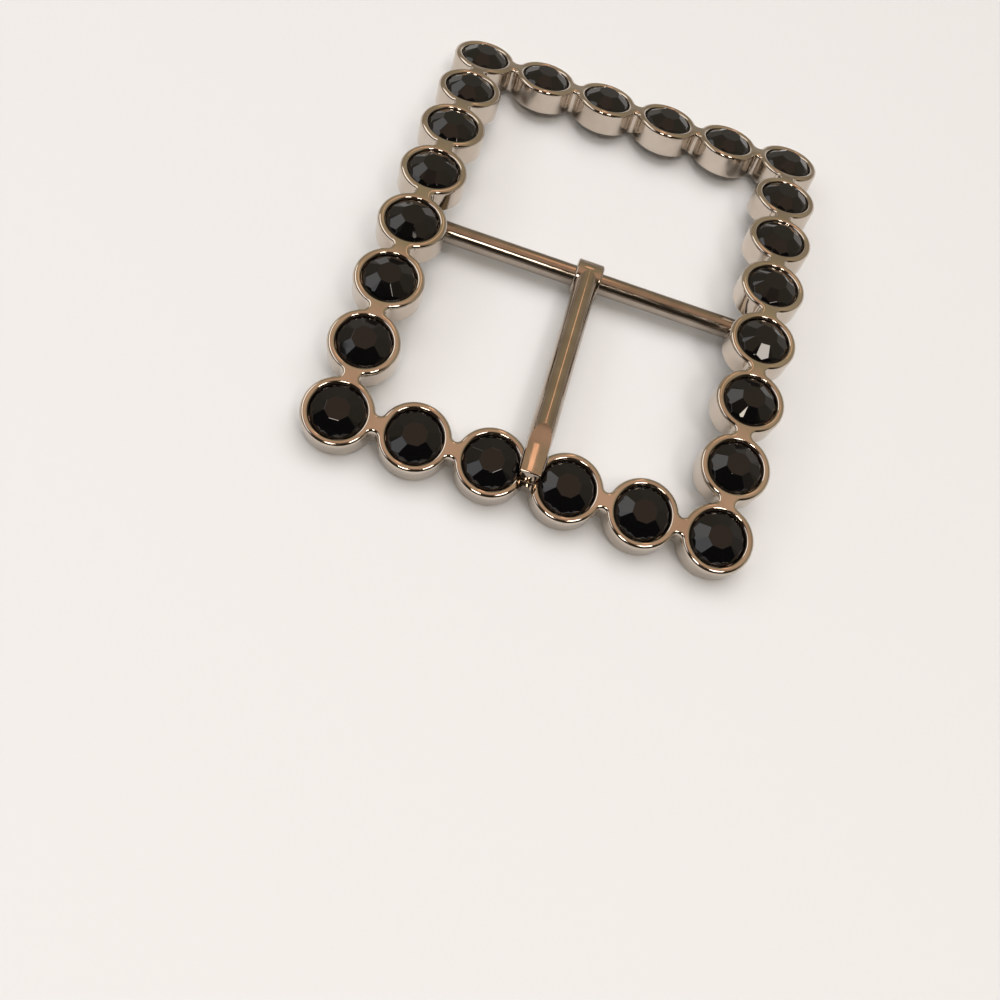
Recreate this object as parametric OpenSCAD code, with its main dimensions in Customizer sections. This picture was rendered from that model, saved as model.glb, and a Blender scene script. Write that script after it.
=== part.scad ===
// Centre-bar belt buckle: a rectangular ring of round stone settings with a
// swinging prong.  X runs across the strap, Y along it, and Z out of the face.
// The origin is on the plane that the buckle rests on, below its centre.

/* [Frame] */
// Settings across the strap, an even number so that a neck lies in the middle
across = 6; // [4:2:8]
// Settings along the strap, an even number for the same reason
along = 8; // [6:2:10]
// Distance between neighbouring settings
pitch = 10; // [9.8:0.1:11]
// Outer diameter of a setting
cup_d = 9.4; // [9:0.1:9.6]
// Height of a setting's wall
cup_h = 3.7; // [3.4:0.1:4.5]
// Bevel round a setting's top and bottom edges
edge = 0.35; // [0.1:0.05:0.5]
// Radius of the lengthwise arch of the face
arch_r = 150; // [120:5:400]
// Narrowest width of a neck between two settings
neck_w = 2.5; // [2:0.1:3]

/* [Stones] */
// Diameter of a stone at its girdle
stone_d = 7.1; // [6.8:0.05:7.2]
// Width of the octagonal table across its flats
table_w = 3; // [2.6:0.1:3.4]
// Height of the table above the rim
table_rise = 0.95; // [0.6:0.05:1.2]
// Depth of the girdle's upper edge below the rim
girdle_drop = 0.3; // [0.2:0.05:0.5]
// Depth of the seat that the stone is bedded on
seat_depth = 2.2; // [2:0.1:2.5]

/* [Bar] */
// Diameter of the strap bar
bar_d = 3; // [2.6:0.1:3.2]
// Height of the bar's axis above the resting plane
bar_rise = 2.7; // [2.7:0.1:3]
// Width of a lug along the bar
lug_w = 4.6; // [4:0.1:5]

/* [Prong] */
// Diameter of the prong's round shank
prong_d = 3.3; // [3:0.1:3.4]
// Diameter of the prong at its tip
tip_d = 2.8; // [2.6:0.1:2.9]
// Radial play of the prong's eye on the bar
eye_play = 0.05; // [0.03:0.01:0.08]
// Wall of the rolled eye
eye_wall = 1.05; // [0.8:0.05:1.05]
// Length of the flat on top of the tip
flat_l = 7.2; // [5:0.1:9]

/* [Hidden] */
$fn = 64;
cup_r = cup_d / 2;
seat_r = stone_d / 2 + 0.05;
lip = 0.25;             // flare of the seat's mouth
neck_drop = 0.1;        // necks lie a little below the rims
cut = 0.5;              // how far a cutter runs past the surface it opens

// the half length of the ring between its end rows, measured on the arch
half_x = (across - 1) * pitch / 2;
half_s = (along - 1) * pitch / 2;
end_tilt = half_s / arch_r * 180 / PI;
end_y = arch_r * sin(end_tilt);
// the arch's top stands so high that the end rows' lowest edges are at z = 0
face_z = arch_r * (1 - cos(end_tilt)) + cup_h * cos(end_tilt) + (cup_r - edge) * sin(end_tilt);
neck_z = face_z - arch_r * (1 - cos(end_tilt));

// a neck's sides are hollow arcs that bite into the walls of its two settings
neck_half = neck_w / 2;
neck_l = 2.4;
waist_r = 1.2;
waist_depth = 0.5;      // how far the neck's ends are wider than its waist, on each side

bar_r = bar_d / 2;
lug_half = 2.7;         // half the lug's depth along the strap
lug_round = 1.5;
lug_bury = 0.8;         // how far the lug runs into the floors of the settings
bar_l = 2 * half_x + lug_w - 0.2;
press = 0.01;           // the lugs grip the bar by this much

eye_r = bar_r + eye_play + eye_wall;
eye_w = 3.8;
shank_r = prong_d / 2;
tip_r = tip_d / 2;
tip_over = 0.3;         // height of the tip's axis above the rims
reach = end_y + 0.3;    // from the bar's axis to the tip's end, on the level
shank_rise = eye_r - shank_r;
slope = atan((neck_z + tip_over - bar_rise - shank_rise) / reach);
shank_l = reach / cos(slope);
taper_l = 6.5;
tip_round = 0.3;
tip_flat = 0.3;         // the flat ends this far above the tip's axis
flat_slope = atan((shank_r - tip_flat) / flat_l);
groove_play = 0.1;      // the groove clears the tip by a tenth all round

// column and row of every setting, once round the ring from the front left corner
places = concat(
    [for (i = [0 : across - 1]) [i, 0]],
    [for (j = [1 : along - 2]) [across - 1, j]],
    [for (i = [across - 1 : -1 : 0]) [i, along - 1]],
    [for (j = [along - 2 : -1 : 1]) [0, j]]);
count = len(places);

function place_x(p) = p[0] * pitch - half_x;
function place_s(p) = p[1] * pitch - half_s;
function stone_name(k) = str("stone_", k < 9 ? "0" : "", k + 1);

// stands its children on the face, at x and at s along the arch
module on_arch(x, s) {
    translate([x, 0, face_z - arch_r])
        rotate([-s / arch_r * 180 / PI, 0, 0])
            translate([0, 0, arch_r])
                children();
}

module cup_blank() {
    rotate_extrude()
        polygon([
            [0, 0],
            [cup_r - edge, 0],
            [cup_r, -edge],
            [cup_r, edge - cup_h],
            [cup_r - edge, -cup_h],
            [0, -cup_h]]);
}

module cup_bore() {
    translate([0, 0, -seat_depth])
        cylinder(h = seat_depth + cut, r = seat_r);
    translate([0, 0, -lip])
        cylinder(h = 2 * lip, r1 = seat_r, r2 = seat_r + 2 * lip);
}

// waisted web that joins two settings, lying along X
module neck() {
    translate([0, 0, edge - cup_h])
        linear_extrude(cup_h - edge - neck_drop)
            difference() {
                square([neck_l, neck_w + 2 * waist_depth], center = true);
                for (side = [-1, 1])
                    translate([0, side * (neck_half + waist_r)])
                        circle(r = waist_r);
            }
}

module necks() {
    for (k = [0 : count - 1]) {
        a = places[k];
        b = places[(k + 1) % count];
        turn = a[0] == b[0] ? 90 : 0;
        on_arch((place_x(a) + place_x(b)) / 2, (place_s(a) + place_s(b)) / 2)
            rotate([0, 0, turn])
                neck();
    }
}

// ear under the middle of a side, with a flat foot and rounded lower edges
module lug() {
    top = face_z - cup_h + lug_bury;
    rotate([90, 0, 90])
        linear_extrude(lug_w, center = true)
            union() {
                translate([-lug_half, lug_round])
                    square([2 * lug_half, top - lug_round]);
                translate([lug_round - lug_half, 0])
                    square([2 * (lug_half - lug_round), top]);
                for (side = [-1, 1])
                    translate([side * (lug_half - lug_round), lug_round])
                        circle(r = lug_round);
            }
}

module along_bar(length, r) {
    translate([0, 0, bar_rise])
        rotate([0, 90, 0])
            cylinder(h = length, r = r, center = true);
}

// places its children on the axis of the prong's shank, which then runs along +Z
module on_shank(at) {
    translate([0, 0, bar_rise + shank_rise])
        rotate([90 - slope, 0, 0])
            translate([0, 0, at])
                children();
}

// the tip's own taper, larger all round, which cuts the groove that it rests in
module groove() {
    on_shank(shank_l - taper_l)
        rotate_extrude()
            polygon([
                [0, 0],
                [shank_r + groove_play, 0],
                [tip_r + groove_play, taper_l - tip_round],
                [tip_r + groove_play, taper_l + cup_r],
                [0, taper_l + cup_r]]);
}

module frame() {
    color("#6f6258")
        difference() {
            union() {
                for (p = places)
                    on_arch(place_x(p), place_s(p))
                        cup_blank();
                necks();
                for (side = [-1, 1])
                    translate([side * half_x, 0, 0])
                        lug();
            }
            for (p = places)
                on_arch(place_x(p), place_s(p))
                    cup_bore();
            along_bar(bar_l + 2 * cut, bar_r - press);
            groove();
        }
}

module crossbar() {
    color("#5c554f")
        along_bar(bar_l, bar_r);
}

module prong() {
    color("#6b5b4e")
        difference() {
            union() {
                along_bar(eye_w, eye_r);
                on_shank(0)
                    cylinder(h = shank_l - taper_l, r = shank_r);
                on_shank(shank_l - taper_l)
                    cylinder(h = taper_l - tip_round, r1 = shank_r, r2 = tip_r);
                on_shank(shank_l - tip_round)
                    cylinder(h = tip_round, r1 = tip_r, r2 = tip_r - tip_round);
            }
            along_bar(eye_w + 2 * cut, bar_r + eye_play);
            on_shank(shank_l - flat_l)
                translate([0, shank_r, 0])
                    rotate([flat_slope, 0, 0])
                        translate([-prong_d, 0, -flat_l])
                            cube([2 * prong_d, prong_d, 3 * flat_l]);
        }
}

// flat-backed stone: a table, eight large facets and eight small ones between them
module stone(k) {
    facets = 8;
    table_half = table_w / 2;
    corner_r = table_half / cos(180 / facets);
    girdle_h = 0.3;
    crown_h = table_rise + girdle_drop;
    base_r = stone_d / 2 - 0.45;
    main_slope = atan(crown_h / (stone_d / 2 - table_half));
    small_slope = atan(crown_h / (stone_d / 2 + 0.1 - corner_r));
    on_arch(place_x(places[k]), place_s(places[k]))
        color("#0b0b0d")
            difference() {
                union() {
                    translate([0, 0, -seat_depth])
                        cylinder(h = seat_depth - girdle_drop - girdle_h, r1 = base_r, r2 = stone_d / 2);
                    translate([0, 0, -girdle_drop - girdle_h])
                        cylinder(h = girdle_h + crown_h, r = stone_d / 2);
                }
                for (i = [0 : facets - 1]) {
                    rotate([0, 0, i * 360 / facets])
                        facet_cutter(table_half, main_slope);
                    rotate([0, 0, (i + 0.5) * 360 / facets])
                        facet_cutter(corner_r, small_slope);
                }
            }
}

// removes what lies above a plane that falls outwards from the table's height
module facet_cutter(r, fall) {
    translate([r, 0, table_rise])
        rotate([0, fall, 0])
            translate([-stone_d, -stone_d, 0])
                cube([3 * stone_d, 2 * stone_d, stone_d]);
}

frame();
crossbar();
prong();
for (k = [0 : count - 1])
    stone(k);
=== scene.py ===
import math
import random

import bmesh
import bpy
from mathutils import Matrix, Vector


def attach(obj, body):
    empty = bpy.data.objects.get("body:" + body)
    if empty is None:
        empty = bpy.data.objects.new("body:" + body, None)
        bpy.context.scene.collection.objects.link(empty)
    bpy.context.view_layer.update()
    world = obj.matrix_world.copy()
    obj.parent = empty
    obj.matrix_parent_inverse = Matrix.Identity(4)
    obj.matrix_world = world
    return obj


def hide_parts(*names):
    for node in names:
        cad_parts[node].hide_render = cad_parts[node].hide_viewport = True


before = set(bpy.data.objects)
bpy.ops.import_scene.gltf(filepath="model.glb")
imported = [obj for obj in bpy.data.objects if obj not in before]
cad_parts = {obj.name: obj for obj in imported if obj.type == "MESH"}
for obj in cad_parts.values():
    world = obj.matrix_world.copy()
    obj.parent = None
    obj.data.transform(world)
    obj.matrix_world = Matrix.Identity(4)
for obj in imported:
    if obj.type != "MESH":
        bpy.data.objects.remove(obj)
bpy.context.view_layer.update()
print("frame loaded:", len(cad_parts), "nodes")

metresPerMm = 0.001
scene = bpy.context.scene

# The camera comes first. It looks down along the strap's line at the front row.
view = {
    "place": (-7.9, -104.6, 120.1),       # mm from the middle of the resting plane
    "forward": (0.040, 0.491, -0.870),
    "up": (-0.316, 0.833, 0.455),
    "lens": 39.17,
}
camera = bpy.data.objects.new("camera", bpy.data.cameras.new("camera"))
scene.collection.objects.link(camera)
scene.camera = camera
back = -Vector(view["forward"]).normalized()
right = Vector(view["up"]).cross(back).normalized()
camera.matrix_world = Matrix.Translation(Vector(view["place"]) * metresPerMm) @ Matrix(
    (right, back.cross(right), back)).transposed().to_4x4()
camera.data.lens = view["lens"]
camera.data.clip_start = 0.005
camera.data.clip_end = 20
print("camera placed")


def linear(hexColour):
    parts = [int(hexColour[i:i + 2], 16) / 255 for i in (1, 3, 5)]
    return [c / 12.92 if c <= 0.04045 else ((c + 0.055) / 1.055) ** 2.4 for c in parts] + [1.0]


def addNode(tree, kind, settings=None, inputs=None):
    node = tree.nodes.new(kind)
    for name, value in (settings or {}).items():
        setattr(node, name, value)
    for name, value in (inputs or {}).items():
        if isinstance(value, bpy.types.NodeSocket):
            tree.links.new(value, node.inputs[name])
        else:
            node.inputs[name].default_value = value
    return node


def startMaterial(name):
    material = bpy.data.materials.new(name)
    material.use_nodes = True
    tree = material.node_tree
    tree.nodes.clear()
    shader = addNode(tree, "ShaderNodeBsdfPrincipled")
    addNode(tree, "ShaderNodeOutputMaterial", inputs={"Surface": shader.outputs[0]})
    return material, shader


def perMm(size):
    return 1 / (size * metresPerMm)       # noise scale whose waves are about size mm long


# Bright black nickel over a polished base: a dark warm mirror with a little cloudiness. The spans
# are the parts of each noise's range that take a look from its first value to its second.
plating = {"cloudSpan": (0.35, 0.68), "markSpan": (0.35, 0.75)}


def nickelPlate(name, look):
    material, shader = startMaterial(name)
    tree = material.node_tree
    where = addNode(tree, "ShaderNodeTexCoord").outputs["Object"]
    cloud = addNode(tree, "ShaderNodeTexNoise", inputs={
        "Vector": where, "Scale": perMm(look["cloudMm"]), "Detail": 3, "Roughness": 0.55})
    tone = addNode(tree, "ShaderNodeValToRGB", inputs={"Fac": cloud.outputs["Fac"]})
    for stop, position, colour in zip(tone.color_ramp.elements, plating["cloudSpan"],
                                      (look["dark"], look["light"])):
        stop.position, stop.color = position, linear(colour)
    # fine polishing marks, long along one axis; real ones are a few hundredths of a millimetre
    # apart, and these are several times as coarse so that they show
    stretch = addNode(tree, "ShaderNodeMapping", inputs={"Vector": where, "Scale": look["markStretch"]})
    marks = addNode(tree, "ShaderNodeTexNoise", inputs={
        "Vector": stretch.outputs[0], "Scale": perMm(look["markMm"]), "Detail": 2, "Roughness": 0.6})
    gloss = addNode(tree, "ShaderNodeMapRange", inputs={
        "Value": marks.outputs["Fac"],
        "From Min": plating["markSpan"][0], "From Max": plating["markSpan"][1],
        "To Min": look["glossy"], "To Max": look["dull"]})
    # the cast or drawn surface still waves a little under the plating
    wave = addNode(tree, "ShaderNodeTexNoise", inputs={
        "Vector": where, "Scale": perMm(look["waveMm"]), "Detail": 1.5})
    waveBump = addNode(tree, "ShaderNodeBump", inputs={
        "Height": wave.outputs["Fac"], "Distance": look["waveHeightMm"] * metresPerMm, "Strength": 1.0})
    markBump = addNode(tree, "ShaderNodeBump", inputs={
        "Height": marks.outputs["Fac"], "Distance": look["markHeightMm"] * metresPerMm,
        "Strength": 1.0, "Normal": waveBump.outputs[0]})
    tree.links.new(tone.outputs[0], shader.inputs["Base Color"])
    tree.links.new(gloss.outputs[0], shader.inputs["Roughness"])
    tree.links.new(markBump.outputs[0], shader.inputs["Normal"])
    shader.inputs["Metallic"].default_value = 1.0
    return material


# the casting was tumbled bright before plating, which leaves soft waves and hardly any marks
castPlate = nickelPlate("polished black nickel on cast zinc", {
    "dark": "#c0b4a7", "light": "#cfc4b8", "cloudMm": 6.0,
    "markStretch": (1.0, 0.25, 1.0), "markMm": 0.25, "glossy": 0.05, "dull": 0.12,
    "waveMm": 2.5, "waveHeightMm": 0.012, "markHeightMm": 0.0004})
# the prong was formed from bar and polished lengthwise: a little darker, with faint lines along it
formedPlate = nickelPlate("polished black nickel on formed steel", {
    "dark": "#ac9f92", "light": "#bdb1a5", "cloudMm": 5.0,
    "markStretch": (1.0, 0.12, 1.0), "markMm": 0.22, "glossy": 0.06, "dull": 0.16,
    "waveMm": 3.0, "waveHeightMm": 0.01, "markHeightMm": 0.0006})
# the strap bar was plated as drawn: the darkest, with lines along it that soften its reflections
drawnPlate = nickelPlate("black nickel on drawn steel wire", {
    "dark": "#9a8f84", "light": "#aca196", "cloudMm": 5.0,
    "markStretch": (0.06, 1.0, 1.0), "markMm": 0.2, "glossy": 0.1, "dull": 0.24,
    "waveMm": 4.0, "waveHeightMm": 0.006, "markHeightMm": 0.0012})


# Jet glass, cut and fire polished: all of its light is a mirror reflection off near-flat facets,
# dulled here and there by a smear.
jet = {"body": "#08080a", "ior": 1.51, "roughness": 0.02, "smearRoughness": 0.07, "smearMm": 1.6,
       "smearSpan": (0.5, 0.75)}


def blackGlass():
    material, shader = startMaterial("cut jet glass")
    tree = material.node_tree
    where = addNode(tree, "ShaderNodeTexCoord").outputs["Object"]
    smear = addNode(tree, "ShaderNodeTexNoise", inputs={
        "Vector": where, "Scale": perMm(jet["smearMm"]), "Detail": 3})
    gloss = addNode(tree, "ShaderNodeMapRange", inputs={
        "Value": smear.outputs["Fac"],
        "From Min": jet["smearSpan"][0], "From Max": jet["smearSpan"][1],
        "To Min": jet["roughness"], "To Max": jet["smearRoughness"]})
    tree.links.new(gloss.outputs[0], shader.inputs["Roughness"])
    shader.inputs["Base Color"].default_value = linear(jet["body"])
    shader.inputs["IOR"].default_value = jet["ior"]
    return material


jetGlass = blackGlass()
print("materials made")

# Driving sizes of the ring in mm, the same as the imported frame's.
ring = {
    "pitch": 10.0, "across": 6, "along": 8, "archRadius": 150.0,
    "cupRadius": 4.7, "cupHeight": 3.7, "cadEdge": 0.35,
    "seatRadius": 3.6, "seatDepth": 2.2, "neckWidth": 2.5,
    "faceRound": 0.56, "footRound": 0.3, "lipRound": 0.44, "faceSteps": 7, "footSteps": 4,
    "lipSteps": 6, "neckSteps": 10, "sideSteps": 14, "arcStep": math.radians(3.5),
}
pitch, archRadius, cupRadius = ring["pitch"], ring["archRadius"], ring["cupRadius"]
halfAcross = (ring["across"] - 1) * pitch / 2
halfAlong = (ring["along"] - 1) * pitch / 2
endTilt = halfAlong / archRadius
faceHeight = (archRadius * (1 - math.cos(endTilt)) + ring["cupHeight"] * math.cos(endTilt)
              + (cupRadius - ring["cadEdge"]) * math.sin(endTilt))
lastColumn, lastRow = ring["across"] - 1, ring["along"] - 1
spots = ([(i, 0) for i in range(lastColumn)] + [(lastColumn, j) for j in range(lastRow)]
         + [(i, lastRow) for i in range(lastColumn, 0, -1)] + [(0, j) for j in range(lastRow, 0, -1)])


def onArch(x, along):
    # stands on the arched face, with local z out of it
    return (Matrix.Translation((x, 0, faceHeight - archRadius))
            @ Matrix.Rotation(-along / archRadius, 4, "X") @ Matrix.Translation((0, 0, archRadius)))


def spotMatrix(spot):
    return onArch(spot[0] * pitch - halfAcross, spot[1] * pitch - halfAlong)


def roundSteps(radius, count):
    # inset and drop along a quarter round that leaves a flat face for an upright wall
    turns = [math.pi / 2 * i / count for i in range(count + 1)]
    return [(radius * (1 - math.sin(t)), radius * (1 - math.cos(t))) for t in turns]


def toObject(name, bm, material):
    bmesh.ops.recalc_face_normals(bm, faces=bm.faces)
    data = bpy.data.meshes.new(name)
    bm.to_mesh(data)
    bm.free()
    data.materials.append(material)
    made = bpy.data.objects.new(name, data)
    scene.collection.objects.link(made)
    return made


def carve(target, tool, operation):
    step = target.modifiers.new("carve", "BOOLEAN")
    step.operation = operation
    step.solver = "EXACT"
    step.object = tool
    bpy.context.view_layer.update()
    done = target.evaluated_get(bpy.context.evaluated_depsgraph_get())
    target.data = bpy.data.meshes.new_from_object(done)
    target.modifiers.clear()
    bpy.data.objects.remove(tool)


def closeSlivers(piece):
    # the cuts can drop a thin triangle and leave faces with corners less than a thousandth of a
    # millimetre from a straight line: the first is put back and the second are split and closed up
    bm = bmesh.new()
    bm.from_mesh(piece.data)
    bmesh.ops.holes_fill(bm, edges=[e for e in bm.edges if e.is_boundary], sides=3)
    bmesh.ops.triangulate(bm, faces=[f for f in bm.faces if len(f.verts) > 4])
    bmesh.ops.dissolve_degenerate(bm, edges=bm.edges, dist=0.001)
    bmesh.ops.recalc_face_normals(bm, faces=bm.faces)
    bm.to_mesh(piece.data)
    still = sum(1 for e in bm.edges if len(e.link_faces) != 2)
    print(piece.name, "closed:", len(bm.faces), "faces,", still, "open edges")
    bm.free()


def finishPiece(piece, body, node, sharpDegrees=30):
    # mm to metres, then shading that stays flat on flat faces
    piece.data.transform(Matrix.Scale(metresPerMm, 4))
    piece.data.shade_smooth()
    piece.data.set_sharp_from_angle(angle=math.radians(sharpDegrees))
    weighted = piece.modifiers.new("weighted normals", "WEIGHTED_NORMAL")
    weighted.keep_sharp = True
    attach(piece, body)
    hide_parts(node)
    return piece


# A neck's sides are hollow arcs that run smoothly into the walls of its two settings.
neckHalf = ring["neckWidth"] / 2
hollow = (pitch ** 2 / 4 + neckHalf ** 2 - cupRadius ** 2) / (2 * (cupRadius - neckHalf))
hollowAt = neckHalf + hollow                   # from the neck's middle to the arc's centre
neckTurn = math.atan2(hollowAt, pitch / 2)     # half the angle that a neck takes of a setting's wall
neckSteps, sideSteps = ring["neckSteps"], ring["sideSteps"]
# inset and height down the outside of a wall, then radius and height down the inside
wallLevels = [(inset, -drop) for inset, drop in roundSteps(ring["faceRound"], ring["faceSteps"])]
wallLevels += [(inset, drop - ring["cupHeight"])
               for inset, drop in reversed(roundSteps(ring["footRound"], ring["footSteps"]))]
seatLevels = [(ring["seatRadius"] + inset, -drop)
              for inset, drop in roundSteps(ring["lipRound"], ring["lipSteps"])]
seatLevels += [(ring["seatRadius"], -ring["seatDepth"])]
lastLevel = len(wallLevels) - 1


def addGrid(bm, rows):
    for near, far in zip(rows, rows[1:]):
        for i in range(len(near) - 1):
            bm.faces.new((near[i], near[i + 1], far[i + 1], far[i]))


def cupTurns(k):
    # the angles of a setting's corners, which stretches stand free of a neck, and where each neck starts
    spot = spots[k]
    neighbours = (spots[k - 1], spots[(k + 1) % len(spots)])
    necks = sorted(math.atan2(n[1] - spot[1], n[0] - spot[0]) % (2 * math.pi) for n in neighbours)
    turns, free, starts = [], [], {}
    for i, at in enumerate(necks):
        starts[round(math.degrees(at))] = len(turns)
        turns += [at + neckTurn * (2 * q / neckSteps - 1) for q in range(neckSteps)]
        free += [False] * neckSteps
        gap = (necks[(i + 1) % 2] - at) % (2 * math.pi) - 2 * neckTurn
        count = round(gap / ring["arcStep"])
        turns += [at + neckTurn + gap * q / count for q in range(count)]
        free += [True] * count
    return turns, free, starts


def addCup(bm, k):
    turns, free, starts = cupTurns(k)
    matrix, total = spotMatrix(spots[k]), len(turns)

    def circle(radius, height, wanted):
        return [bm.verts.new(matrix @ Vector((radius * math.cos(t), radius * math.sin(t), height)))
                if use else None for t, use in zip(turns, wanted)]

    everywhere = [True] * total
    beside = [free[i] or free[i - 1] for i in range(total)]
    walls = [circle(cupRadius - inset, height, everywhere if level in (0, lastLevel) else beside)
             for level, (inset, height) in enumerate(wallLevels)]
    seat = [circle(radius, height, everywhere) for radius, height in seatLevels]
    for i in range(total):
        n = (i + 1) % total
        bm.faces.new((seat[0][i], seat[0][n], walls[0][n], walls[0][i]))
        for upper, lower in zip(seat, seat[1:]):
            bm.faces.new((upper[i], lower[i], lower[n], upper[n]))
        if free[i]:
            for upper, lower in zip(walls, walls[1:]):
                bm.faces.new((upper[i], upper[n], lower[n], lower[i]))
    bm.faces.new(seat[-1])
    bm.faces.new(walls[-1])
    return {"matrix": matrix, "walls": walls, "starts": starts, "total": total}


def sidePoint(side, inset, i):
    # along and across a neck, for a point of its hollow side
    turn = math.atan2(pitch / 2, hollowAt) * (2 * i / sideSteps - 1)
    reach = hollow + inset
    return pitch / 2 + reach * math.sin(turn), side * (hollowAt - reach * math.cos(turn))


def webPoint(inset, i, q):
    # the same for a point of its top or bottom, blended from the settings' edges and the sides
    share, rise = i / sideSteps, q / neckSteps
    reach = cupRadius - inset
    at = neckTurn * (2 * rise - 1)
    edgeU, edgeV = reach * math.cos(at), reach * math.sin(at)
    cornerU, cornerV = reach * math.cos(neckTurn), reach * math.sin(neckTurn)
    sideU, sideV = sidePoint(-1, inset, i)
    u = (1 - share) * edgeU + share * (pitch - edgeU)
    u += sideU - ((1 - share) * cornerU + share * (pitch - cornerU))
    v = edgeV + (1 - rise) * sideV - rise * sideV - cornerV * (2 * rise - 1)
    return u, v


def addNeck(bm, cups, k):
    # between a setting and the next one, whose planes lean apart a little on the arch
    following = (k + 1) % len(spots)
    a, b = cups[k], cups[following]
    along = Vector(spots[following]) - Vector(spots[k])
    across = Vector((-along.y, along.x))
    turn = round(math.degrees(math.atan2(along.y, along.x))) % 360
    startA, startB = a["starts"][turn], b["starts"][(turn + 180) % 360]

    def bridge(u, v, height, share):
        share = share * share * (3 - 2 * share)
        here = along * u + across * v
        there = along * (u - pitch) + across * v
        start = a["matrix"] @ Vector((here.x, here.y, height))
        end = b["matrix"] @ Vector((there.x, there.y, height))
        return bm.verts.new(start.lerp(end, share))

    def joined(level, q):
        # the two settings' own corners at a neck's ends
        return (a["walls"][level][(startA + q) % a["total"]],
                b["walls"][level][(startB + neckSteps - q) % b["total"]])

    sides = {}
    for side, q in ((-1, 0), (1, neckSteps)):
        rows = []
        for level, (inset, height) in enumerate(wallLevels):
            first, last = joined(level, q)
            middle = [bridge(*sidePoint(side, inset, i), height, i / sideSteps)
                      for i in range(1, sideSteps)]
            rows.append([first] + middle + [last])
        addGrid(bm, rows)
        sides[side] = rows
    for level in (0, lastLevel):
        inset, height = wallLevels[level]
        ends = [joined(level, q) for q in range(neckSteps + 1)]
        rows = [[first for first, last in ends]]
        for i in range(1, sideSteps):
            middle = [bridge(*webPoint(inset, i, q), height, i / sideSteps) for q in range(1, neckSteps)]
            rows.append([sides[-1][level][i]] + middle + [sides[1][level][i]])
        rows.append([last for first, last in ends])
        addGrid(bm, rows)


def ringMesh():
    bm = bmesh.new()
    cups = [addCup(bm, k) for k in range(len(spots))]
    for k in range(len(spots)):
        addNeck(bm, cups, k)
    return bm


# The bar, the lugs that carry it and the prong, in mm.
bar = {"radius": 1.5, "height": 2.7, "halfLength": 27.2, "endRound": 0.25, "peen": 0.08,
       "peenRings": (0.9, 0.6, 0.3, 0.05), "plainReach": 24, "plainStep": 6}
lug = {"halfWidth": 2.3, "halfDepth": 2.7, "footRound": 1.5, "cornerRound": 0.3, "bury": 0.8,
       "sink": 0.18, "boreGap": 0.02, "footSteps": 10, "cornerSteps": 4}
prong = {
    "shankRadius": 1.65, "tipRadius": 1.4, "eyeRadius": 2.6, "boreRadius": 1.55, "eyeHalfWidth": 1.9,
    "eyeRound": 0.3, "boreSink": 0.15, "boreFlare": 1.25,
    "seamWidth": 0.12, "seamTurn": math.radians(24), "seamSpan": (1.0, 3.0),
    "flatLength": 7.2, "flatEntry": 3.2, "flatDip": 0.8, "flatCrown": 0.07,
    "taper": 6.5, "tipPast": 0.3, "tipRound": 0.3, "tipOver": 0.3, "tipFlat": 0.5,
    "plainRings": (0.2, 4, 8, 12, 16, 20, 24), "entryStep": 0.06, "entryRings": 20,
    "flatStart": 1.4, "flatStep": 0.3, "flatRings": 19, "tipRings": 6, "cornerLimit": math.radians(80),
}
notch = {"play": 0.1, "shoulder": 0.22, "shoulderTurn": math.radians(25), "halfLength": 4.6,
         "leastSpan": 0.1, "sections": 24, "shoulderSteps": 5, "grooveSteps": 14,
         "openings": ((0.9, 1.4), (0.3, 0.35))}      # how far out and up the sides go, above the rims
neckHeight = faceHeight - archRadius * (1 - math.cos(endTilt))
prongReach = archRadius * math.sin(endTilt) + prong["tipPast"]
shankRise = prong["eyeRadius"] - prong["shankRadius"]
shankSlope = math.atan((neckHeight + prong["tipOver"] - bar["height"] - shankRise) / prongReach)
shankLength = prongReach / math.cos(shankSlope)
shankMatrix = (Matrix.Translation((0, 0, bar["height"] + shankRise))
               @ Matrix.Rotation(math.pi / 2 - shankSlope, 4, "X"))
barMatrix = Matrix.Translation((0, 0, bar["height"])) @ Matrix.Rotation(math.pi / 2, 4, "Y")


def loft(bm, loops):
    for near, far in zip(loops, loops[1:]):
        for i in range(len(near)):
            n = (i + 1) % len(near)
            bm.faces.new((near[i], near[n], far[n], far[i]))


def addLoft(bm, matrix, sections):
    # sections are lists of (x, y, z), all of one length; the ends are capped
    loops = [[bm.verts.new(matrix @ Vector(p)) for p in section] for section in sections]
    loft(bm, loops)
    bm.faces.new(loops[0])
    bm.faces.new(loops[-1])


def closedLoft(name, matrix, sections, material):
    bm = bmesh.new()
    addLoft(bm, matrix, sections)
    return toObject(name, bm, material)


def circlePoints(radius, z, count):
    turns = [2 * math.pi * i / count for i in range(count)]
    return [(radius * math.cos(t), radius * math.sin(t), z) for t in turns]


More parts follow.
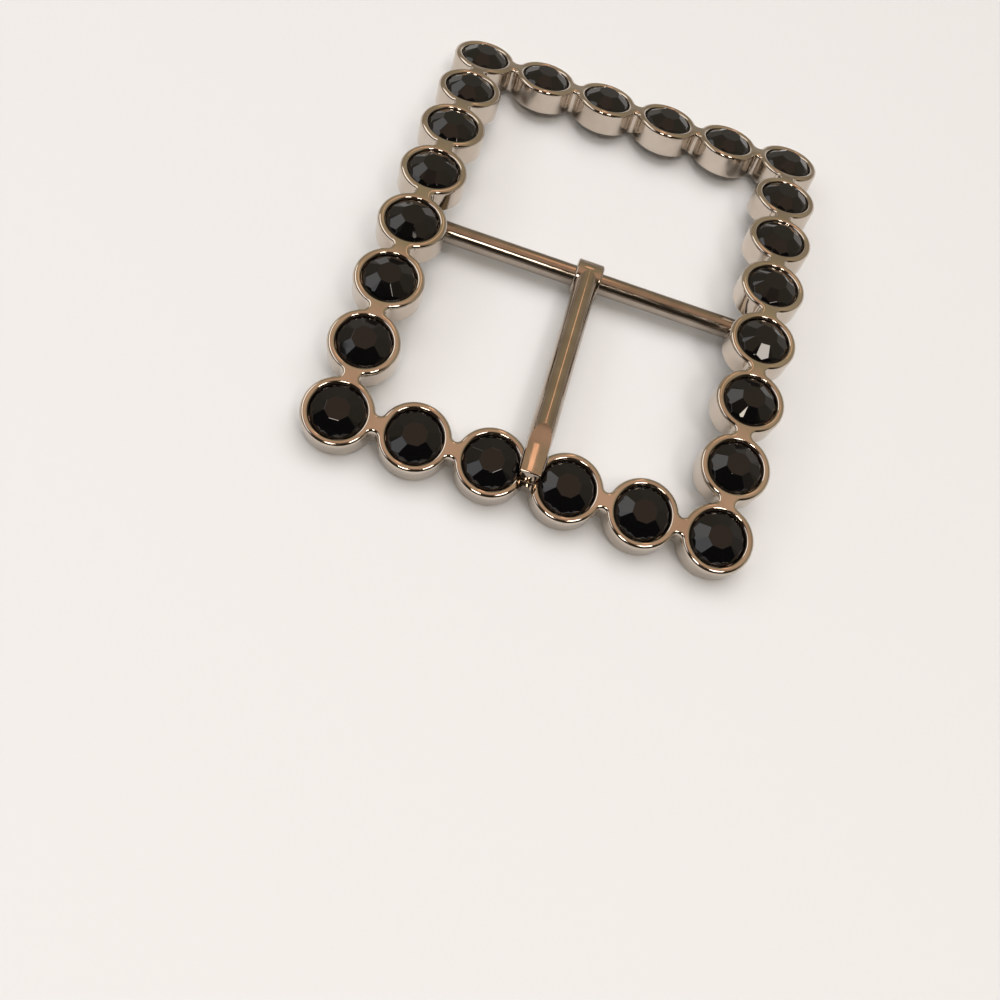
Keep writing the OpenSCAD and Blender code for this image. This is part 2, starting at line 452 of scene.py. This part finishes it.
def bothLugs():
    top = faceHeight - ring["cupHeight"] + lug["bury"]
    levels = [(lug["footRound"] * (1 - math.cos(t)), lug["footRound"] * (1 - math.sin(t)))
              for t in [math.pi / 2 * i / lug["footSteps"] for i in range(lug["footSteps"] + 1)]]
    levels.append((top, 0))
    sections = []
    for z, inset in levels:
        halfDepth = lug["halfDepth"] - inset
        corner = lug["cornerRound"]
        edge = corner * max(0.0, 1 - z / corner) ** 2      # the foot's short edges are only broken
        halfWidth = lug["halfWidth"] - edge
        section = []
        for cx, cy, first in ((1, 1, 0), (-1, 1, 90), (-1, -1, 180), (1, -1, 270)):
            for i in range(lug["cornerSteps"] + 1):
                t = math.radians(first + 90 * i / lug["cornerSteps"])
                section.append((cx * (halfWidth - corner) + corner * math.cos(t),
                                cy * (halfDepth - corner) + corner * math.sin(t), z))
        sections.append(section)
    bm = bmesh.new()
    for side in (-1, 1):
        addLoft(bm, Matrix.Translation((side * halfAcross, 0, 0)), sections)
    return toObject("lugs", bm, castPlate)


def boreCutter():
    # one long cutter for both lugs' holes, whose mouths are broken by a small sink
    reach, sink, past = lug["halfWidth"], lug["sink"], 0.3
    steps = [(halfAcross - reach - past, sink + past), (halfAcross - reach + sink, 0.0),
             (halfAcross + reach - sink, 0.0), (halfAcross + reach + past, sink + past)]
    steps = [(-x, wider) for x, wider in reversed(steps)] + steps
    sections = [circlePoints(bar["radius"] + lug["boreGap"] + wider, x, 64) for x, wider in steps]
    return closedLoft("bores", barMatrix, sections, castPlate)


def shankRadiusAt(at):
    share = min(max(1 - (shankLength - at) / prong["taper"], 0), 1)
    return prong["shankRadius"] + (prong["tipRadius"] - prong["shankRadius"]) * share


def notchCutter():
    # the groove for the prong's tip, with shoulders that roll over into the rims' plane
    shoulder = notch["shoulder"]
    middle = shankLength - prong["tipPast"]
    sections = []
    for i in range(notch["sections"] + 1):
        out = notch["halfLength"] * (2 * i / notch["sections"] - 1)    # along the shank, from the neck
        groove = shankRadiusAt(min(middle + out, shankLength)) + notch["play"]
        # how far the groove's axis stands above the rims here
        rise = prong["tipOver"] + out * math.tan(shankSlope + endTilt)
        sink = shoulder * math.cos(notch["shoulderTurn"])
        span = math.sqrt(max((groove + shoulder) ** 2 - (rise + sink) ** 2, notch["leastSpan"] ** 2))
        meet = math.atan2(rise + sink, span)
        right = [(span + wide, high - rise) for wide, high in notch["openings"]]
        start = math.pi / 2 - notch["shoulderTurn"]
        for j in range(notch["shoulderSteps"] + 1):
            t = start + (math.pi - meet - start) * j / notch["shoulderSteps"]
            right.append((span + shoulder * math.cos(t), -rise - sink + shoulder * math.sin(t)))
        for j in range(1, notch["grooveSteps"]):
            t = -meet + (meet - math.pi / 2) * j / notch["grooveSteps"]
            right.append((groove * math.cos(t), groove * math.sin(t)))
        left = [(-x, y) for x, y in reversed(right)]
        sections.append([(x, y, middle + out) for x, y in right + [(0.0, -groove)] + left])
    return closedLoft("notch", shankMatrix, sections, castPlate)


def buildFrame():
    body = toObject("cast_ring", ringMesh(), castPlate)
    carve(body, bothLugs(), "UNION")
    carve(body, boreCutter(), "DIFFERENCE")
    carve(body, notchCutter(), "DIFFERENCE")
    closeSlivers(body)
    return finishPiece(body, "buckle", "frame")


def buildBar():
    half, corner, peen = bar["halfLength"], bar["endRound"], bar["peen"]
    flat = bar["radius"] - corner
    end = [(bar["radius"] - inset, half - drop) for inset, drop in reversed(roundSteps(corner, 5))]
    end += [(r, half + peen * math.cos(math.pi / 2 * r / flat)) for r in bar["peenRings"]]
    reach = bar["plainReach"]
    plain = [(bar["radius"], z) for z in range(-reach, reach + 1, bar["plainStep"])]
    stops = [(r, -z) for r, z in reversed(end)] + plain + end
    piece = closedLoft("strap_bar", barMatrix, [circlePoints(r, z, 72) for r, z in stops], drawnPlate)
    return finishPiece(piece, "buckle", "crossbar")


def shankSection(at):
    fromEnd, tipRound = shankLength - at, prong["tipRound"]
    radius = shankRadiusAt(at)
    flatStart = shankLength - prong["flatLength"]
    # the flat dips in steeply where the grinding wheel enters, then runs nearly level
    onFlat = max(at - flatStart, 0)
    entry = 1 - (1 - min(onFlat / prong["flatEntry"], 1)) ** 2
    entered = prong["shankRadius"] - prong["flatDip"]
    top = prong["shankRadius"] - prong["flatDip"] * entry
    top -= (entered - prong["tipFlat"]) * onFlat / prong["flatLength"]
    if fromEnd < tipRound:
        lost = tipRound - math.sqrt(tipRound ** 2 - (tipRound - fromEnd) ** 2)
        radius -= lost
        top -= lost
    corner = math.asin(min(top / radius, math.sin(prong["cornerLimit"])))
    topSteps, underSteps = 12, 48
    points = []
    for i in range(topSteps):                          # the flat, or the round top where there is none
        t = math.pi - corner + (2 * corner - math.pi) * i / topSteps
        x, y = radius * math.cos(t), radius * math.sin(t)
        if at > flatStart:
            share = 2 * i / topSteps - 1
            x = radius * math.cos(corner) * share
            y = min(y, top + prong["flatCrown"] * entry * (1 - share ** 2))
        points.append((x, y, at))
    for i in range(underSteps):                        # the round underside
        t = corner - (math.pi + 2 * corner) * i / underSteps
        points.append((radius * math.cos(t), radius * math.sin(t), at))
    return points


def buildProng():
    start = shankLength - prong["flatLength"]
    stations = list(prong["plainRings"])               # plain shank, from inside the eye
    # rings stand close together where the flat starts, the first of them just past its edge
    stations += [start + 0.001 + prong["entryStep"] * i for i in range(prong["entryRings"])]
    stations += [start + prong["flatStart"] + prong["flatStep"] * i for i in range(prong["flatRings"])]
    tipTurns = [math.pi / 2 * i / prong["tipRings"] for i in range(prong["tipRings"] + 1)]
    stations += [shankLength - prong["tipRound"] * (1 - math.sin(t)) for t in tipTurns]
    stations = sorted(at for at in stations if at <= shankLength)
    body = closedLoft("buckle_prong", shankMatrix, [shankSection(at) for at in stations], formedPlate)
    half, past = prong["eyeHalfWidth"], 1
    corner = reversed(roundSteps(prong["eyeRound"], 5))
    side = [(prong["eyeRadius"] - inset, half - drop) for inset, drop in corner]
    stops = [(r, -z) for r, z in reversed(side)] + side
    eye = closedLoft("eye", barMatrix, [circlePoints(r, z, 120) for r, z in stops], formedPlate)
    carve(body, eye, "UNION")
    inner, flare = half - prong["boreSink"], prong["boreFlare"]
    bore = [circlePoints(prong["boreRadius"] + wider, z, 120) for z, wider in (
        (-half - past, flare), (-inner, 0.0), (inner, 0.0), (half + past, flare))]
    carve(body, closedLoft("bore", barMatrix, bore, formedPlate), "DIFFERENCE")
    # the rolled end stops just short of the shank's underside
    turned = Matrix.Rotation(prong["seamTurn"], 4, "X")
    seamMatrix = Matrix.Translation((0, 0, bar["height"])) @ turned
    reach, gap = half + past, prong["seamWidth"] / 2
    slot = [[(x, -y, z) for x, z in ((-reach, -gap), (reach, -gap), (reach, gap), (-reach, gap))]
            for y in reversed(prong["seamSpan"])]
    carve(body, closedLoft("seam", seamMatrix, slot, formedPlate), "DIFFERENCE")
    closeSlivers(body)
    return finishPiece(body, "prong", "prong", 24)


# A stone in mm: a table, eight large facets, eight star facets and sixteen small ones at the girdle.
stone = {
    "radius": 3.55, "tableHalf": 1.5, "tableRise": 0.95, "girdleDrop": 0.3, "girdle": 0.22,
    "baseRadius": 3.1, "facets": 8, "smallSlope": 46, "smallRadius": 3.2, "starOver": 0.1,
    "edge": 0.025, "bevelFrom": 6, "turnSpread": 5, "tiltSpread": 0.7,     # the last three in degrees
}


def buildStone(k):
    bm = bmesh.new()
    crown = stone["tableRise"] + stone["girdleDrop"]
    girdleLow = -stone["girdleDrop"] - stone["girdle"]
    levels = ((stone["baseRadius"], -ring["seatDepth"]), (stone["radius"], girdleLow),
              (stone["radius"], stone["tableRise"]))
    loops = [[bm.verts.new(p) for p in circlePoints(r, z, 96)] for r, z in levels]
    loft(bm, loops)
    bm.faces.new(loops[0])
    bm.faces.new(loops[-1])
    step = 2 * math.pi / stone["facets"]
    cornerRadius = stone["tableHalf"] / math.cos(step / 2)
    mainSlope = math.atan(crown / (stone["radius"] - stone["tableHalf"]))
    starSlope = math.atan(crown / (stone["radius"] + stone["starOver"] - cornerRadius))
    cuts = [(step * i, stone["tableHalf"], stone["tableRise"], mainSlope) for i in range(stone["facets"])]
    cuts += [(step * (i + 0.5), cornerRadius, stone["tableRise"], starSlope)
             for i in range(stone["facets"])]
    lowered = stone["tableRise"] - (stone["smallRadius"] - stone["tableHalf"]) * math.tan(mainSlope)
    cuts += [(step * (i + 0.5) / 2, stone["smallRadius"], lowered, math.radians(stone["smallSlope"]))
             for i in range(2 * stone["facets"])]
    for turn, radius, height, slope in cuts:
        facing = Vector((math.cos(turn), math.sin(turn), 0))
        normal = facing * math.sin(slope) + Vector((0, 0, math.cos(slope)))
        point = facing * radius + Vector((0, 0, height))
        made = bmesh.ops.bisect_plane(bm, geom=bm.verts[:] + bm.edges[:] + bm.faces[:], dist=1e-5,
                                      plane_co=point, plane_no=normal, clear_outer=True)
        rim = [e for e in made["geom_cut"] if isinstance(e, bmesh.types.BMEdge)]
        if rim:
            bmesh.ops.contextual_create(bm, geom=rim)
    bmesh.ops.recalc_face_normals(bm, faces=bm.faces)
    # every edge above the girdle is worn round by a hair
    cutEdges = [e for e in bm.edges if len(e.link_faces) == 2
                and e.calc_face_angle() > math.radians(stone["bevelFrom"])
                and max(v.co.z for v in e.verts) > girdleLow + 0.01]
    bmesh.ops.bevel(bm, geom=cutEdges, offset=stone["edge"], segments=1, affect="EDGES",
                    clamp_overlap=True, profile=0.5)
    # hand setting leaves every stone turned and tipped a little
    turn = math.radians(dice.uniform(-stone["turnSpread"], stone["turnSpread"]))
    tiltX = math.radians(dice.uniform(-stone["tiltSpread"], stone["tiltSpread"]))
    tiltY = math.radians(dice.uniform(-stone["tiltSpread"], stone["tiltSpread"]))
    standing = spotMatrix(spots[k]) @ Matrix.Rotation(tiltX, 4, "X") @ Matrix.Rotation(tiltY, 4, "Y")
    bmesh.ops.transform(bm, matrix=standing @ Matrix.Rotation(turn, 4, "Z"), verts=bm.verts)
    name = f"stone_{k + 1:02d}"
    piece = toObject("cut_" + name, bm, jetGlass)
    return finishPiece(piece, "buckle", name, 4)


buildFrame()
buildBar()
buildProng()
dice = random.Random(24)
for k in range(len(spots)):
    buildStone(k)
print("stones set:", len(spots))

# A pale matt table under a warm ceiling, with a long window on the left and lamps over the viewer.
studio = {
    "tableColour": "#e3e7eb", "tableRoughness": 0.7, "tableSize": 16.0,      # the size is in metres
    "sky": ((0.0, "#f1ece6"), (0.12, "#c0b7ac"), (0.28, "#968c7d"), (0.78, "#afa184"),
            (0.98, "#d6b399")),
    "frontShade": 0.08, "frontEdge": (-0.45, -0.05), "frontTop": (0.08, 0.22),
}


def buildFloor():
    bm = bmesh.new()
    bmesh.ops.create_grid(bm, x_segments=1, y_segments=1, size=studio["tableSize"] / 2)
    material, shader = startMaterial("matt painted table")
    shader.inputs["Base Color"].default_value = linear(studio["tableColour"])
    shader.inputs["Roughness"].default_value = studio["tableRoughness"]
    toObject("table", bm, material)


def buildSky():
    world = bpy.data.worlds.new("studio")
    scene.world = world
    world.use_nodes = True
    tree = world.node_tree
    tree.nodes.clear()
    where = addNode(tree, "ShaderNodeTexCoord").outputs["Generated"]
    parts = addNode(tree, "ShaderNodeSeparateXYZ", inputs={"Vector": where})
    ramp = addNode(tree, "ShaderNodeValToRGB", inputs={"Fac": parts.outputs["Z"]})
    stops = ramp.color_ramp.elements
    while len(stops) < len(studio["sky"]):
        stops.new(0.5)
    for stop, (height, colour) in zip(stops, studio["sky"]):
        stop.position, stop.color = height, linear(colour)
    # the viewer's own side is dark above the table's far edge, as it is under a person bending over
    edge, top = studio["frontEdge"], studio["frontTop"]
    side = addNode(tree, "ShaderNodeMapRange", {"interpolation_type": "SMOOTHSTEP"}, {
        "Value": parts.outputs["Y"], "From Min": edge[0], "From Max": edge[1],
        "To Min": studio["frontShade"], "To Max": 1.0})
    low = addNode(tree, "ShaderNodeMapRange", {"interpolation_type": "SMOOTHSTEP"}, {
        "Value": parts.outputs["Z"], "From Min": top[0], "From Max": top[1],
        "To Min": 1.0, "To Max": 0.0})
    shade = addNode(tree, "ShaderNodeMath", {"operation": "MAXIMUM"})
    tree.links.new(side.outputs[0], shade.inputs[0])
    tree.links.new(low.outputs[0], shade.inputs[1])
    sky = addNode(tree, "ShaderNodeBackground", inputs={
        "Color": ramp.outputs[0], "Strength": shade.outputs[0]})
    addNode(tree, "ShaderNodeOutputWorld", inputs={"Surface": sky.outputs[0]})


# sizes are as seen from one metre away, and radiance is the panel's own brightness
lamps = {
    "ceiling_fill": {"towards": (0.1, 0.3, 1.0), "width": 1.2, "height": 1.2, "radiance": 1.72,
                     "colour": "#fdfdff", "distance": 12.0, "onMetal": False},
    "window_left": {"towards": (-0.72, -0.06, 0.66), "width": 1.3, "height": 0.36, "radiance": 1.5,
                    "colour": "#f6f6fa"},
    "lamp_over_viewer": {"towards": (-0.08, -0.56, 0.82), "width": 0.17, "height": 0.15,
                         "radiance": 16, "colour": "#fff2e2"},
    "lamp_right": {"towards": (0.34, -0.4, 0.85), "width": 0.19, "height": 0.17, "radiance": 12,
                   "colour": "#fff4e8"},
    "warm_strip": {"towards": (0.03, 0.56, 0.83), "width": 0.09, "height": 0.4, "radiance": 1.3,
                   "colour": "#ffc09a"},
}


def addPanel(name, towards, width, height, radiance, colour, distance=1.0, onMetal=True):
    lamp = bpy.data.lights.new(name, "AREA")
    lamp.shape = "RECTANGLE"
    lamp.size, lamp.size_y = width * distance, height * distance
    lamp.energy = math.pi * radiance * lamp.size * lamp.size_y
    lamp.color = linear(colour)[:3]
    panel = bpy.data.objects.new(name, lamp)
    scene.collection.objects.link(panel)
    panel.location = Vector(towards).normalized() * distance
    panel.rotation_euler = panel.location.to_track_quat("Z", "Y").to_euler()
    panel.visible_glossy = onMetal       # the fill lights the table without whitening the metal


buildFloor()
buildSky()
for name, lamp in lamps.items():
    addPanel(name, **lamp)
scene.view_settings.view_transform = "Standard"
print("studio lit")
